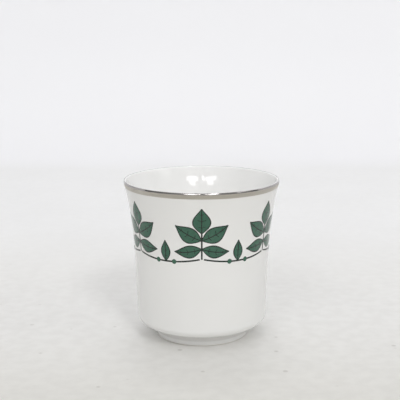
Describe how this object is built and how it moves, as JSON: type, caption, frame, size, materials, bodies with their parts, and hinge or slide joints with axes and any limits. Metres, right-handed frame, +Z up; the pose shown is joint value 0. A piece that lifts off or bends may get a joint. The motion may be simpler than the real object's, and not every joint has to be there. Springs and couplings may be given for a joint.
{
  "type": "sake cup",
  "caption": "Small straight-sided white porcelain sake cup with a flared lip, a metal line on the rim, a band of green enamel sprigs and a recessed foot ring.",
  "frame": {"origin": "centre of the foot ring's bearing face, on the surface that the cup stands on", "axes": "+Z up along the cup's axis, -Y towards the viewer in the picture, where one sprig faces"},
  "size_m": [0.0604, 0.0604, 0.0618],
  "materials": {
    "porcelain": "clear gloss glaze over white porcelain, bare and matt on the foot's bearing face",
    "platinum": "fired-on platinum line, satin and slightly worn",
    "leaf_enamel": "fired overglaze enamel, glossy green with darker outlines and veins",
    "line_enamel": "fired overglaze enamel, dark grey green lines and berries"
  },
  "bodies": {
    "root": {"cup_body": "porcelain", "rim_line": "platinum", "leaf_sprig_1": "leaf_enamel", "leaf_sprig_2": "leaf_enamel", "leaf_sprig_3": "leaf_enamel", "leaf_sprig_4": "leaf_enamel", "leaf_sprig_5": "leaf_enamel", "leaf_sprig_6": "leaf_enamel", "berry_swag_1": "line_enamel", "berry_swag_2": "line_enamel", "berry_swag_3": "line_enamel", "berry_swag_4": "line_enamel", "berry_swag_5": "line_enamel", "berry_swag_6": "line_enamel"}
  },
  "joints": []
}
